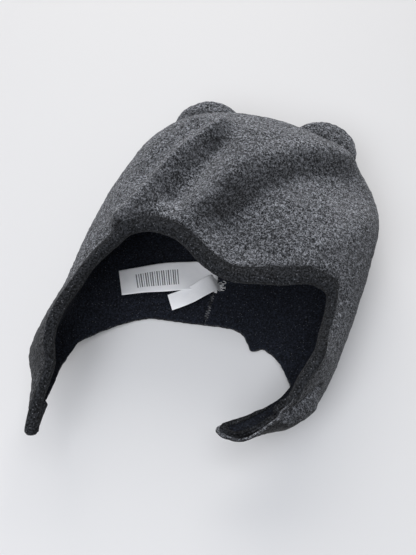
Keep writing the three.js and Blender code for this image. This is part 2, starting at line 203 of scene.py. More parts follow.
# ---- The folded-over lump at the back of the right flap, along a run of places
PLEATS = [
    dict(name="lump", height=4.6, width=6.0, run=[(75, -88, 47), (82, -80, 47), (87, -73, 46)]),
    dict(
        name="crease above it", height=-3.6, width=2.4,
        run=[(73, -85, 55), (79, -78, 56), (84, -71, 57), (90, -62, 55)],
    ),
]
FULL_FOLDS = 0.7  # the folds have their whole height where the face's normal rises more than this
SLACK = dict(height=0.55, size=17.0, seed=11)  # the gentle unevenness of limp cloth
SLACK_FROM, SLACK_FULL = 1, 8  # heights above the table between which it sets in

# Painted shade darkens the fleece round this point of the left flap
LEFT_FLAP = np.array([-92.0, -82.0, 57.0])  # the middle of the left flap's outer face

# ---- The binding, by the places where columns leave the crown, in degrees
BAND_FROM, BAND_TO = 259, 101  # where it starts and ends, behind the tips of the two straps
BANDED_FROM, BANDED_TO = 300, 50  # turns between which it is sewn to the outer fleece in sight
TUCKED = (62, 84, 96, 104)  # it goes in over the first two, and comes out over the last two
TUCK = 3.0  # how far in from the cut edge a tucked binding lies
TUCK_GAP = 0.9  # between it and the outer fleece
TUCKED_THINNER = 0.4  # share of its outer flange's thickness that it loses there
TUCKED_FLATTER = 0.5  # share of its fold's bulge that it loses
TUCKED_CLOSER = 0.7  # share of the room under its fold that it loses
LOOSE_FOLD = dict(middle=22, width=14, more=0.6)  # the fold is loosest over the forehead
BAND_WAVES = dict(height=0.3, size=9.0, seed=63)  # the slow unevenness of a binding sewn by machine
BAND_LINES = 9  # lines of corners along each flange
BAND_PLUMP = dict(at_seam=0.45, more=0.85, full_by=1.12)  # thickness in cloths, from stitching to fold

# ---- Ears: each one's middle on the crown
EARS = [
    dict(node="ear_right", middle=(56.5, 123.5, 45)),
    dict(node="ear_left", middle=(-31.5, 120, 46)),
]
EAR_HALF_WIDTH = 27.5
EAR_VOXEL = 1.3  # spacing of the even mesh that is filled
EAR_ROOT = 3.2  # the corners this near to the crown are held while the ear is filled
EAR_SLACK = 0.72  # its thickness before that, as a share of the finished one
EAR_MOST = 1.6  # how far a corner may move
EAR_AIR = dict(pressure=25.0, mass=0.002, quality=6, steps=20)
EAR_EDGE_SEAM = dict(depth=0.6, width=0.7, start=0.8, end=0.95)  # start and end as shares of the half width

# ---- Labels: the middle line of each ribbon, [x, y, z] and how many degrees its near edge is turned up,
# from the centre seam to its free end
LABELS = [
    dict(
        node="care_label", width=25.0, printed=True,
        line=[
            (3, 17, 5.4, 0), (-0.5, 16.2, 8, 0), (-9, 13.5, 9.6, 3), (-25, 8.5, 11.5, 7),
            (-45, 0.5, 12.5, 10), (-65, -9, 13, 20),
        ],
    ),
    dict(
        node="size_label", width=13.0, printed=False,
        line=[
            (3.5, 13, 6.6, -8), (0.5, 9.5, 10.8, -4), (-5, 2.8, 12.8, 0), (-13, -5, 12, 2),
            (-25.7, -13.1, 9.4, 4),
        ],
    ),
]
BARS = dict(first=30.0, last=62.5, low=-7.4, high=5.6)  # the printed block, along and across the care label
BAR_SPACINGS = (4.1, 1.7)  # two even patterns of bars, laid over each other
BAR_BROAD_SHARE = 0.6  # how much the wider spacing counts
BAR_CUT = 0.1  # a bar is inked where the two together rise above this
RIB_SPACING = 0.6
RIBBON = 0.32  # thickness of the woven satin
RIBBON_ROWS = 9  # rings of a ribbon for each millimetre of its width
RIBBON_POINTS = 27  # corners across it
RIBBON_EDGE = dict(thinner=0.9, power=16)  # it thins by this share, only close to its edges
SELVAGE = dict(height=0.1, middle=0.94, width=0.05)  # the thicker woven edge, in shares of the half width
TWIST = dict(height=0.4, length=5.5, start=0.8)  # its edges rise and fall in turn along it
CUP = dict(height=0.5, length=9, flat=0.4)  # it is hollow and humped in turn along it

# ---- The overlock stitching of the lining's centre seam
THREAD = 0.42  # thickness
THREAD_SIDES = 6
ZIGZAG = dict(start=17.0, end=-18.6, step=-1.0, half_width=1.6, above=0.2)  # start and end in y
LOOPS = dict(
    count=7, x=(4.5, 10.5), y=(8.5, 15.5), size=(1.2, 2.4), above=0.6, rise=0.5, squash=0.7, seed=83
)
LOOP_STOPS = 12
LOOP_LAP = 0.85  # share of a whole turn
STEPS_PER_STOP = 6

# ---- The grid of the meshes
TURN_STEP = 1.0  # degrees over which the face's slope is measured
GIRTH_STEP = 0.03  # rows over which it is measured
EDGE_SAMPLES = 6000  # places round the cut edge from which the even steps are taken
COLUMN_BEND = 2.5  # above 1, the columns turn toward their own place of the edge late
BAND_SHARE_CAP = 0.043  # most of a column that the band may take
EDGE_ROOM = 0.6  # between a cloth's rows and the rounding of its cut edge
THINNING = ((0.06, 8), (0.16, 4), (0.4, 2))  # below these shares of the way down, one column in so many
ROUNDING = (18, 162, 7)  # the cut edge's rounding, from and to in degrees, and its rings
NOISE_CELLS = 64  # random numbers along each side of the block that the noise repeats
OUTER_GRID = dict(columns=704, rows=208)
LINING_GRID = dict(columns=384, rows=120)


# ---- Small tools
def unit(ways):
    return ways / np.maximum(np.linalg.norm(ways, axis=-1, keepdims=True), 1e-12)


def smoothstep(value, low, high):
    share = np.clip((value - low) / (high - low), 0, 1)
    return share * share * (3 - 2 * share)


def grain(places, size, seed):
    """Smooth noise from -1 to 1, its lumps about size across, from a repeated block of random numbers."""
    block = np.random.default_rng(seed).uniform(-1, 1, (NOISE_CELLS, NOISE_CELLS, NOISE_CELLS))
    cell = places / size
    base = np.floor(cell).astype(int)
    blend = cell - base
    blend = blend * blend * (3 - 2 * blend)
    total = np.zeros(places.shape[:-1])
    for corner in itertools.product((0, 1), repeat=3):
        weight = np.prod(np.where(corner, blend, 1 - blend), axis=-1)
        x, y, z = np.moveaxis((base + corner) % NOISE_CELLS, -1, 0)
        total += weight * block[x, y, z]
    return total


# ---- The hat's face
def columns_of(half):
    return {name: np.array([line[name] for line in half], float) for name in half[0]}


HALVES = (columns_of(RIGHT_HALF), columns_of(LEFT_HALF))


def girth_place(index, turn):
    """The places of girth lines at angles round the hat."""
    across = np.sin(np.radians(turn))
    up = np.cos(np.radians(turn))
    place = np.empty(turn.shape + (3,))
    for half, here in ((HALVES[0], across >= 0), (HALVES[1], across < 0)):
        line = index[here]
        square = half["square"][line]
        reach = (np.abs(across[here]) ** square + np.abs(up[here]) ** square) ** (-1 / square)
        end = np.where(up[here, None] < 0, half["back"][line], half["front"][line])
        side = half["side"][line]
        over = (np.abs(across[here]) * reach)[:, None]
        rise = (np.abs(up[here]) * reach)[:, None]
        place[here, :1] = end[:, :1] + (side[:, :1] - end[:, :1]) * over
        place[here, 1:] = side[:, 1:] + (end[:, 1:] - side[:, 1:]) * rise
    return place


def plain_face(turn, girth):
    """The hat without its folds. Above the crown point the lines come back on the other side."""
    start = np.minimum(np.floor(girth), LAST_LINE - 1).astype(int)
    t = girth - start
    weights = (
        (-t + 2 * t**2 - t**3) / 2,
        (2 - 5 * t**2 + 3 * t**3) / 2,
        (t + 4 * t**2 - 3 * t**3) / 2,
        (t**3 - t**2) / 2,
    )
    place = 0
    for step, weight in zip((-1, 0, 1, 2), weights):
        line = np.minimum(start + step, LAST_LINE)
        place = place + weight[..., None] * girth_place(np.abs(line), turn + 180.0 * (line < 0))
    return place - ORIGIN


def to_run(places, run):
    """How far places are from a run of stops, and on which side: -1 at its left, 1 at its right in plan."""
    stops = np.array(run, float)
    gap = np.full(places.shape[:-1], np.inf)
    side = np.zeros(places.shape[:-1])
    for first, second in zip(stops[:-1], stops[1:]):
        way = second - first
        along = np.clip((places - first) @ way / (way @ way), 0, 1)
        off = places - first - along[..., None] * way
        here = np.linalg.norm(off, axis=-1)
        turn = (way[0] * off[..., 1] - way[1] * off[..., 0]) / math.hypot(way[0], way[1])
        side = np.where(here < gap, turn / np.maximum(here, 1e-6), side)
        gap = np.minimum(gap, here)
    return gap, side


def fold_height(place):
    """How far the folds lift a place of the front."""
    plan = (place + ORIGIN)[..., :2]
    height = 0
    for fold in FOLDS:
        gap, side = to_run(plan, fold["run"])
        width = fold["left"] + (fold["right"] - fold["left"]) * (1 + side) / 2
        height = height + fold["height"] * np.exp(-((gap / width) ** 2))
    return height


def pleat_height(place):
    height = 0
    for pleat in PLEATS:
        gap = to_run(place + ORIGIN, pleat["run"])[0]
        height = height + pleat["height"] * np.exp(-((gap / pleat["width"]) ** 2))
    return height


def way_out_of(surface, turn, girth):
    """Unit normals, pointing out of the hat, of a surface that is a function of turn and girth."""
    at = np.maximum(girth, 2 * GIRTH_STEP)
    round_way = surface(turn + TURN_STEP, at) - surface(turn - TURN_STEP, at)
    down_way = surface(turn, at + GIRTH_STEP) - surface(turn, at - GIRTH_STEP)
    return unit(np.cross(down_way, round_way))


def face(turn, girth):
    """The outer face: folded, a little slack, and pressed flat where it lies on the table."""
    place = plain_face(turn, girth)
    normal = way_out_of(plain_face, turn, girth)
    lift = smoothstep(normal[..., 2], 0, FULL_FOLDS) * fold_height(place)
    slack = SLACK["height"] * smoothstep(place[..., 2], SLACK_FROM, SLACK_FULL)
    lift = lift + slack * grain(place, SLACK["size"], SLACK["seed"])
    lift = lift + pleat_height(place)
    place = place + lift[..., None] * normal
    place[..., 2] = np.maximum(place[..., 2], 0)
    return place


def edge_steps(count):
    """The cut edge in equal steps round the hat: turn, girth and start of each, by a centripetal spline."""
    laps = [divmod(index, len(EDGE)) for index in range(-2, len(EDGE) + 2)]
    knots = np.array(
        [
            (EDGE[row]["turn"] + 360 * lap, EDGE[row]["girth"], EDGE[row]["start"] + 360 * lap)
            for lap, row in laps
        ],
        float,
    )
    gaps = np.linalg.norm(np.diff(knots, axis=0), axis=1) ** 0.5
    spot = np.linspace(1, len(knots) - 2.001, EDGE_SAMPLES)  # ends just short of the last knot but one
    at = np.floor(spot).astype(int)
    w = (spot - at)[:, None]
    p0, p1, p2, p3 = (knots[at + step] for step in (-1, 0, 1, 2))
    d0, d1, d2 = (gaps[at + step][:, None] for step in (-1, 0, 1))
    slope1 = ((p1 - p0) / d0 - (p2 - p0) / (d0 + d1) + (p2 - p1) / d1) * d1
    slope2 = ((p2 - p1) / d1 - (p3 - p1) / (d1 + d2) + (p3 - p2) / d2) * d1
    fine = p1 + slope1 * w + (3 * (p2 - p1) - 2 * slope1 - slope2) * w**2
    fine = fine + (2 * (p1 - p2) + slope1 + slope2) * w**3
    fine = fine[(fine[:, 0] >= 0) & (fine[:, 0] <= 360)]
    step = np.linalg.norm(np.diff(face(fine[:, 0], fine[:, 1]), axis=0), axis=1)
    length = np.concatenate([[0], np.cumsum(step)])
    wanted = np.arange(count) / count * length[-1]
    return np.stack([np.interp(wanted, length, fine[:, k]) for k in range(3)])


class Pattern:
    """The hat's grid: columns from the crown to equal steps of the cut edge."""

    def __init__(self, columns):
        self.columns = columns
        self.turn, self.girth, self.start = edge_steps(columns)
        self.edge = face(self.turn, self.girth)
        self.edge_normal = way_out_of(face, self.turn, self.girth)
        self.edge_way = unit(np.roll(self.edge, -1, axis=0) - np.roll(self.edge, 1, axis=0))
        self.way_out = unit(np.cross(self.edge_way, self.edge_normal))
        inner = self.places(np.full(columns, 1 - GIRTH_STEP))[0]
        way_in = (inner - self.edge) / GIRTH_STEP
        width = np.linalg.norm(np.cross(way_in, self.edge_way), axis=1)
        self.band_share = np.minimum(BAND_WIDTH / width, BAND_SHARE_CAP)

    def places(self, t, every=1):
        """Places and normals at shares t of the way from the crown to the edge, in every n-th column."""
        turn, girth, start = (column[::every] for column in (self.turn, self.girth, self.start))
        turn = start + (turn - start) * t**COLUMN_BEND
        girth = girth * t
        return face(turn, girth), way_out_of(face, turn, girth)


# ---- Meshes
def mesh_object(name, corners, face_sets, material):
    """A smooth mesh, in metres, from corners in millimetres and arrays of faces with 3, 4 or 5 corners. Its
    faces are turned to look outward."""
    volume = 0
    for faces in face_sets:
        for k in range(1, faces.shape[1] - 1):
            one, two, three = corners[faces[:, 0]], corners[faces[:, k]], corners[faces[:, k + 1]]
            volume += np.einsum("ij,ij->", one, np.cross(two, three))
    if volume < 0:
        face_sets = [faces[:, ::-1] for faces in face_sets]
    sizes = np.concatenate([np.full(len(faces), faces.shape[1]) for faces in face_sets])
    loops = np.concatenate([faces.ravel() for faces in face_sets])
    mesh = bpy.data.meshes.new(name)
    mesh.vertices.add(len(corners))
    mesh.vertices.foreach_set("co", (corners * MM).astype(np.float32).ravel())
    mesh.loops.add(len(loops))
    mesh.loops.foreach_set("vertex_index", loops.astype(np.int32))
    mesh.polygons.add(len(sizes))
    mesh.polygons.foreach_set("loop_start", np.concatenate([[0], np.cumsum(sizes)[:-1]]).astype(np.int32))
    mesh.update(calc_edges=True)
    mesh.validate()
    mesh.shade_smooth()
    mesh.materials.append(material)
    made = bpy.data.objects.new(name, mesh)
    bpy.context.scene.collection.objects.link(made)
    return made


def skin(rings, first, last):
    """Corners and faces of a closed skin over rings of corners, between a first and a last point. A ring has
    as many corners as the one before it, or twice or half as many."""
    corners = np.vstack([first[None], *rings, last[None]])
    starts = 1 + np.concatenate([[0], np.cumsum([len(ring) for ring in rings])])
    fans, squares, fives = [], [], []
    for ring, centre, flip in ((0, 0, False), (len(rings) - 1, len(corners) - 1, True)):
        k = np.arange(len(rings[ring]))
        after = (k + 1) % len(k)
        one, two = (after, k) if flip else (k, after)
        fans.append(np.stack([np.full(len(k), centre), starts[ring] + one, starts[ring] + two], axis=1))
    for ring in range(len(rings) - 1):
        near, far = starts[ring], starts[ring + 1]
        n, m = len(rings[ring]), len(rings[ring + 1])
        k = np.arange(min(n, m))
        after = (k + 1) % len(k)
        if n == m:
            squares.append(np.stack([near + k, far + k, far + after, near + after], axis=1))
        elif m == 2 * n:
            rim = (2 * k, 2 * k + 1, (2 * k + 2) % m)
            fives.append(np.stack([near + k, *(far + r for r in rim), near + after], axis=1))
        else:
            rim = ((2 * k + 2) % n, 2 * k + 1, 2 * k)
            fives.append(np.stack([far + k, far + after, *(near + r for r in rim)], axis=1))
    return corners, [np.vstack(faces) for faces in (fans, squares, fives) if faces]


def nap(places, height, size, seed):
    """The brushed pile's uneven height: tufts with finer ones on them."""
    return height * (grain(places, size, seed) + FINER_TUFTS * grain(places, size / 2, seed + 1))


def seam_dip(places, point, way, depth, width):
    """How far the cloth is drawn in along a seam that lies on a plane, with its puckers."""
    gap = (places - point) @ way
    pucker = 1 + PUCKER["share"] * grain(places, PUCKER["size"], PUCKER["seed"])
    return depth * pucker * np.exp(-((gap / width) ** 2))


def cloth(pattern, rows, outside, inside, dressing, inset=0.0):
    """The whole hat as one closed cloth between two depths under the face. Its cut edge is rounded, its fine
    face is the one that shows, and dressing gives how far each place of that face is lifted. Where inside is
    the smaller depth, the fine face is the inner one. inset is how much further in the cut edge lies."""
    out = 1.0 if inside > outside else -1.0
    half = abs(inside - outside) / 2
    cut_share = pattern.band_share * (half + EDGE_ROOM + inset) / BAND_WIDTH
    rings, coarse = [], []
    for row in range(1, rows + 1):
        share = row / rows
        every = next((some for below, some in THINNING if share < below), 1)
        t = share * (1 - cut_share[::every])
        place, normal = pattern.places(t, every)
        edge_gap = (1 - t) / pattern.band_share[::every] * BAND_WIDTH
        lift = dressing(place, edge_gap, pattern.turn[::every])
        rings.append(place + normal * (out * lift - outside)[:, None])
        if row % 2 == 0 or row == rows:
            wide = max(2, every)
            step = wide // every
            coarse.append(place[::step] - normal[::step] * inside)
    way_in = pattern.way_out * np.reshape(half + inset, (-1, 1))
    middle = pattern.edge - way_in - pattern.edge_normal * ((outside + inside) / 2)
    for angle in np.radians(np.linspace(*ROUNDING)):
        round_way = pattern.edge_normal * (out * math.cos(angle)) + pattern.way_out * math.sin(angle)
        rough = dressing(middle + round_way * half, np.zeros(pattern.columns), pattern.turn)
        rings.append(middle + round_way * (half + rough * math.sin(angle))[:, None])
    crown, crown_normal = (part[0] for part in pattern.places(np.zeros(1), pattern.columns))
    first, last = crown - crown_normal * outside, crown - crown_normal * inside
    return skin([*rings, *coarse[::-1]], first, last)


def on_table(corners, low=0.0):
    """No cloth reaches under the table."""
    corners[:, 2] = np.maximum(corners[:, 2], low)
    return corners


def cut_along(whole, name, point, way, material):
    """The side of a closed cloth that a seam plane's way points to, closed again along the cut."""
    made = bpy.data.objects.new(name, whole.data.copy())
    made.data.name = name
    bpy.context.scene.collection.objects.link(made)
    shape = bmesh.new()
    shape.from_mesh(made.data)
    start = Vector((point + way * SEAM_GAP / 2) * MM)
    parts = [*shape.verts, *shape.edges, *shape.faces]
    found = bmesh.ops.bisect_plane(shape, geom=parts, plane_co=start, plane_no=Vector(way), clear_inner=True)
    rim = [part for part in found["geom_cut"] if isinstance(part, bmesh.types.BMEdge)]
    bmesh.ops.triangle_fill(shape, use_beauty=True, edges=rim, normal=-Vector(way))
    shape.to_mesh(made.data)
    shape.free()
    made.data.materials.clear()
    made.data.materials.append(material)
    return made


# ---- Materials
def linear(code):
    """An sRGB hex colour as linear red, green, blue and alpha."""
    parts = [int(code[k : k + 2], 16) / 255 for k in (1, 3, 5)]
    return (*(c / 12.92 if c <= 0.04045 else ((c + 0.055) / 1.055) ** 2.4 for c in parts), 1.0)


def add_node(material, kind, inputs=None, **settings):
    """Adds a shader node. inputs maps a socket's name or number to a value or the socket that feeds it."""
    tree = material.node_tree
    made = tree.nodes.new("ShaderNode" + kind)
    for name, value in settings.items():
        setattr(made, name, value)
    for name, value in (inputs or {}).items():
        if isinstance(value, bpy.types.NodeSocket):
            tree.links.new(value, made.inputs[name])
        else:
            made.inputs[name].default_value = value
    return made


def new_material(name):
    """A material with no nodes yet."""
    material = bpy.data.materials.new(name)
    material.use_nodes = True
    material.node_tree.nodes.clear()
    return material


def per_metre(size_mm):
    """The scale of a noise whose lumps are size_mm across."""
    return 1 / (size_mm * MM)


FACTOR, COLOUR_A, COLOUR_B, COLOUR = 0, 6, 7, 2  # sockets of a Mix node that blends colours


def heather_fleece():
    """Brushed polyester fleece, spun from dark and pale fibres: matt, with a salt and pepper nap that curls
    in tufts. The tufts are about 1.1 mm across and the curls 2.6 mm; the dips between the curls are darkened
    with painted shade. Its colour carries painted light and shade: paler where its face turns toward the
    crown and darker where it turns to the open end, and darker with painted shade on the left flap."""
    material = new_material("heather_polyester_fleece")
    places = add_node(material, "TexCoord")
    where = places.outputs["Object"]
    tufts = add_node(
        material, "TexNoise",
        {"Vector": where, "Scale": per_metre(1.1), "Detail": 2.0, "Roughness": 0.65, "Distortion": 0.9},
    )
    curls = add_node(
        material, "TexNoise",
        {"Vector": where, "Scale": per_metre(2.6), "Detail": 2.0, "Roughness": 0.5, "Distortion": 1.4},
    )
    worn = add_node(
        material, "TexNoise", {"Vector": where, "Scale": per_metre(22), "Detail": 2.0, "Roughness": 0.5}
    )
    pale = add_node(
        material, "MapRange",
        {"Value": tufts.outputs["Fac"], "From Min": 0.44, "From Max": 0.60, "To Min": 0.0, "To Max": 1.0},
    )
    body = add_node(
        material, "Mix",
        {FACTOR: pale.outputs["Result"], COLOUR_A: linear("#0a0b0d"), COLOUR_B: linear("#979aa0")},
        data_type="RGBA",
    )
    # Painted shade: where the curls' noise is low, which is where the bump dips, the colour is darkened
    # toward near black
    hollow = add_node(
        material, "MapRange",
        {"Value": curls.outputs["Fac"], "From Min": 0.36, "From Max": 0.56, "To Min": 0.72, "To Max": 0.0},
    )
    hollow_shaded = add_node(
        material, "Mix",
        {FACTOR: hollow.outputs["Result"], COLOUR_A: body.outputs[COLOUR], COLOUR_B: linear("#101215")},
        data_type="RGBA",
    )
    faded = add_node(
        material, "MapRange",
        {"Value": worn.outputs["Fac"], "From Min": 0.35, "From Max": 0.7, "To Min": 0.0, "To Max": 0.14},
    )
    toned = add_node(
        material, "Mix",
        {FACTOR: faded.outputs["Result"], COLOUR_A: hollow_shaded.outputs[COLOUR], COLOUR_B: linear("#78797d")},
        data_type="RGBA",
    )
    # Painted shade: the fleece's colour is darkened within about 60 mm of the middle of the left flap
    flap = add_node(
        material, "VectorMath", {0: where, 1: tuple((LEFT_FLAP - ORIGIN) * MM)}, operation="DISTANCE"
    )
    brushed = add_node(
        material, "MapRange",
        {"Value": flap.outputs["Value"], "From Min": 0.036, "From Max": 0.06, "To Min": 0.65, "To Max": 0.0},
    )
    flap_shaded = add_node(
        material, "Mix",
        {FACTOR: brushed.outputs["Result"], COLOUR_A: toned.outputs[COLOUR], COLOUR_B: linear("#5e5f62")},
        data_type="RGBA", blend_type="MULTIPLY",
    )
    # Painted light and shade: the colour is scaled from 0.1 to 1.65 times by how far the face's normal turns
    # toward the crown
    facing = add_node(material, "SeparateXYZ", {"Vector": places.outputs["Normal"]})
    painted_facing_light = add_node(
        material, "MapRange",
        {"Value": facing.outputs["Y"], "From Min": -0.75, "From Max": 0.5, "To Min": 0.10, "To Max": 1.65},
    )
    facing_lit = add_node(
        material, "VectorMath", {0: flap_shaded.outputs[COLOUR], "Scale": painted_facing_light.outputs["Result"]},
        operation="SCALE",
    )
    height = add_node(
        material, "Math", {0: tufts.outputs["Fac"], 1: curls.outputs["Fac"]}, operation="ADD"
    )
    pile = add_node(
        material, "Bump", {"Height": height.outputs["Value"], "Strength": 1.0, "Distance": 1.0 * MM}
    )
    shader = add_node(
        material, "BsdfPrincipled",
        {
            "Base Color": facing_lit.outputs["Vector"], "Normal": pile.outputs["Normal"], "Roughness": 0.95,
            "Specular IOR Level": 0.2, "Sheen Weight": 0.12, "Sheen Roughness": 0.45,
        },
    )
    add_node(material, "OutputMaterial", {"Surface": shader.outputs["BSDF"]})
    return material


def black_fleece(name, dark, pale, lint):
    """Black brushed polyester fleece: matt, its nap between two tones, with pale lint caught in it. The
    tufts are 1.2 mm across, and the lint's specks about 0.4 mm, one in every 2.4 mm."""
    material = new_material(name)
    where = add_node(material, "TexCoord").outputs["Object"]
    tufts = add_node(
        material, "TexNoise", {"Vector": where, "Scale": per_metre(1.2), "Detail": 2.5, "Roughness": 0.7}
    )
    share = add_node(
        material, "MapRange",
        {"Value": tufts.outputs["Fac"], "From Min": 0.42, "From Max": 0.66, "To Min": 0.0, "To Max": 1.0},
    )
    body = add_node(
        material, "Mix",
        {FACTOR: share.outputs["Result"], COLOUR_A: linear(dark), COLOUR_B: linear(pale)},
        data_type="RGBA",
    )
    specks = add_node(
        material, "TexVoronoi", {"Vector": where, "Scale": per_metre(2.4), "Randomness": 1.0}
    )
    speck = add_node(
        material, "MapRange",
        {
            "Value": specks.outputs["Distance"], "From Min": 0.06, "From Max": 0.17, "To Min": lint,
            "To Max": 0.0,
        },
    )
    linted = add_node(
        material, "Mix",
        {FACTOR: speck.outputs["Result"], COLOUR_A: body.outputs[COLOUR], COLOUR_B: linear("#9a9ca2")},
        data_type="RGBA",
    )
    pile = add_node(
        material, "Bump", {"Height": tufts.outputs["Fac"], "Strength": 0.9, "Distance": 0.9 * MM}
    )
    shader = add_node(
        material, "BsdfPrincipled",
        {
            "Base Color": linted.outputs[COLOUR], "Normal": pile.outputs["Normal"], "Roughness": 0.95,
            "Specular IOR Level": 0.2, "Sheen Weight": 0.03, "Sheen Roughness": 0.5,
        },
    )
    add_node(material, "OutputMaterial", {"Surface": shader.outputs["BSDF"]})
    return material


def printed_satin():
    """White polyester satin ribbon: woven, with fine ribs across it and a soft gloss along it, and a block
    of grey bars printed on it. The ribs are drawn coarser than the real weave, so that they show."""
    material = new_material("white_polyester_satin")
    where = add_node(material, "TexCoord").outputs["Object"]
    marks = add_node(material, "UVMap", uv_map="ribbon")
    spot = add_node(material, "SeparateXYZ", {"Vector": marks.outputs["UV"]})
    along, across = spot.outputs["X"], spot.outputs["Y"]
    waves = []
    for spacing in (RIB_SPACING, *BAR_SPACINGS):
        phase = add_node(material, "Math", {0: along, 1: 2 * math.pi / spacing}, operation="MULTIPLY")
        waves.append(add_node(material, "Math", {0: phase.outputs["Value"]}, operation="SINE"))
    rib, broad, narrow = (wave.outputs["Value"] for wave in waves)
    less = add_node(material, "Math", {0: broad, 1: BAR_BROAD_SHARE}, operation="MULTIPLY")
    both = add_node(material, "Math", {0: narrow, 1: less.outputs["Value"]}, operation="ADD")
    inked = add_node(material, "Math", {0: both.outputs["Value"], 1: BAR_CUT}, operation="GREATER_THAN")
    for place, limit, side in (
        (along, BARS["first"], "GREATER_THAN"),
        (along, BARS["last"], "LESS_THAN"),
        (across, BARS["low"], "GREATER_THAN"),
        (across, BARS["high"], "LESS_THAN"),
    ):
        inside = add_node(material, "Math", {0: place, 1: limit}, operation=side)
        both = {0: inked.outputs["Value"], 1: inside.outputs["Value"]}
        inked = add_node(material, "Math", both, operation="MULTIPLY")
    cloud = add_node(
        material, "TexNoise", {"Vector": where, "Scale": per_metre(7), "Detail": 2.0, "Roughness": 0.5}
    )
    satin = add_node(
        material, "Mix",
        {FACTOR: cloud.outputs["Fac"], COLOUR_A: linear("#f0f1f3"), COLOUR_B: linear("#ffffff")},
        data_type="RGBA",
    )
    printed = add_node(
        material, "Mix",
        {FACTOR: inked.outputs["Value"], COLOUR_A: satin.outputs[COLOUR], COLOUR_B: linear("#6f7173")},
        data_type="RGBA",
    )
    weave = add_node(material, "Bump", {"Height": rib, "Strength": 0.25, "Distance": 0.1 * MM})
    shader = add_node(
        material, "BsdfPrincipled",
        {"Base Color": printed.outputs[COLOUR], "Normal": weave.outputs["Normal"], "Roughness": 0.42},
    )
    add_node(material, "OutputMaterial", {"Surface": shader.outputs["BSDF"]})
    return material


def spun_thread():
    """Dark grey spun polyester thread: twisted and matt, paler where it has worn."""
    material = new_material("spun_polyester_thread")
    where = add_node(material, "TexCoord").outputs["Object"]
    worn = add_node(
        material, "TexNoise", {"Vector": where, "Scale": per_metre(6), "Detail": 3.0, "Roughness": 0.6}
    )
    share = add_node(
        material, "MapRange",
        {"Value": worn.outputs["Fac"], "From Min": 0.5, "From Max": 0.7, "To Min": 0.0, "To Max": 1.0},
    )
    colour = add_node(
        material, "Mix",
        {FACTOR: share.outputs["Result"], COLOUR_A: linear("#17181c"), COLOUR_B: linear("#8b8d91")},
        data_type="RGBA",
    )
    shader = add_node(
        material, "BsdfPrincipled", {"Base Color": colour.outputs[COLOUR], "Roughness": 0.8}
    )
    add_node(material, "OutputMaterial", {"Surface": shader.outputs["BSDF"]})
    return material


def white_thread():
    """White spun polyester thread, matt."""
    material = new_material("white_polyester_thread")
    shader = add_node(material, "BsdfPrincipled", {"Base Color": linear("#d8d9da"), "Roughness": 0.8})
    add_node(material, "OutputMaterial", {"Surface": shader.outputs["BSDF"]})
    return material


def laminate():
    """The table's matt white laminate, even and slightly soft in its reflections."""
    material = new_material("matt_white_laminate")
    shader = add_node(material, "BsdfPrincipled", {"Base Color": linear("#dfdfdf"), "Roughness": 0.6})
    add_node(material, "OutputMaterial", {"Surface": shader.outputs["BSDF"]})
    return material


HEATHER = heather_fleece()
WHITE_THREAD = white_thread()
SATIN = printed_satin()
SPUN_THREAD = spun_thread()
BLACK_LINING = black_fleece("black_polyester_fleece", "#07090f", "#262b36", 0.3)
BLACK_BAND = black_fleece("black_fleece_binding", "#070809", "#393b3f", 0.5)


# ---- The camera, the table and the light, in metres
CAMERA = dict(azimuth=15, elevation=65, distance=0.453, lens=42, target=(-0.0025, -0.007, 0.040))
TABLE_REACH = 3.0
TABLE_LEVEL = -0.0002  # just under the cloth that lies on it
LAMPS = [
    dict(name="window", azimuth=197, elevation=35, energy=17.5, colour="#fffaf4"),
    dict(name="ceiling", azimuth=180, elevation=89, energy=11.5, colour="#f8faff"),
    dict(name="front", azimuth=342, elevation=54, energy=21.5, colour="#f7f9ff"),
]
LAMP_SIZE = (1.5, 1.1)
LAMP_DISTANCE = 2.0
ROOM_LIGHT = dict(colour="#f3f5fa", strength=0.28)


def looking_from(azimuth, elevation):
    """The way from what is looked at to an eye; azimuth 0 is at the hat's open end."""
    a, e = math.radians(azimuth), math.radians(elevation)
    return Vector((math.sin(a) * math.cos(e), -math.cos(a) * math.cos(e), math.sin(e)))


def set_camera():
    camera = bpy.data.objects.new("camera", bpy.data.cameras.new("camera"))
    bpy.context.scene.collection.objects.link(camera)
    camera.data.lens = CAMERA["lens"]
    away = looking_from(CAMERA["azimuth"], CAMERA["elevation"])
    camera.location = Vector(CAMERA["target"]) + away * CAMERA["distance"]
    camera.rotation_mode = "QUATERNION"
    camera.rotation_quaternion = (-away).to_track_quat("-Z", "Y")
    bpy.context.scene.camera = camera


def set_table():
    mesh = bpy.data.meshes.new("table")
    sides = ((-1, -1), (1, -1), (1, 1), (-1, 1))
    corners = [(x * TABLE_REACH, y * TABLE_REACH, TABLE_LEVEL) for x, y in sides]
    mesh.from_pydata(corners, [], [(0, 1, 2, 3)])
    table = bpy.data.objects.new("table", mesh)
    bpy.context.scene.collection.objects.link(table)
    table.data.materials.append(laminate())


def set_light():
    """Three wide, soft lamps round the hat, and a little light from the room."""
    for lamp in LAMPS:
        panel = bpy.data.lights.new(lamp["name"], "AREA")
        panel.shape = "RECTANGLE"
        panel.size, panel.size_y = LAMP_SIZE
        panel.energy = lamp["energy"]
        panel.color = linear(lamp["colour"])[:3]
        holder = bpy.data.objects.new(lamp["name"], panel)
        bpy.context.scene.collection.objects.link(holder)
        away = looking_from(lamp["azimuth"], lamp["elevation"])
        holder.location = away * LAMP_DISTANCE
        holder.rotation_mode = "QUATERNION"
        holder.rotation_quaternion = (-away).to_track_quat("-Z", "Y")
    world = bpy.data.worlds.new("room")
    world.use_nodes = True
    background = world.node_tree.nodes["Background"]
    background.inputs["Color"].default_value = linear(ROOM_LIGHT["colour"])
    background.inputs["Strength"].default_value = ROOM_LIGHT["strength"]
    bpy.context.scene.world = world
    bpy.context.scene.view_settings.view_transform = "Standard"


# ---- The hat's pieces
FINE = 1.0
PATTERN = Pattern(int(OUTER_GRID["columns"] * FINE))


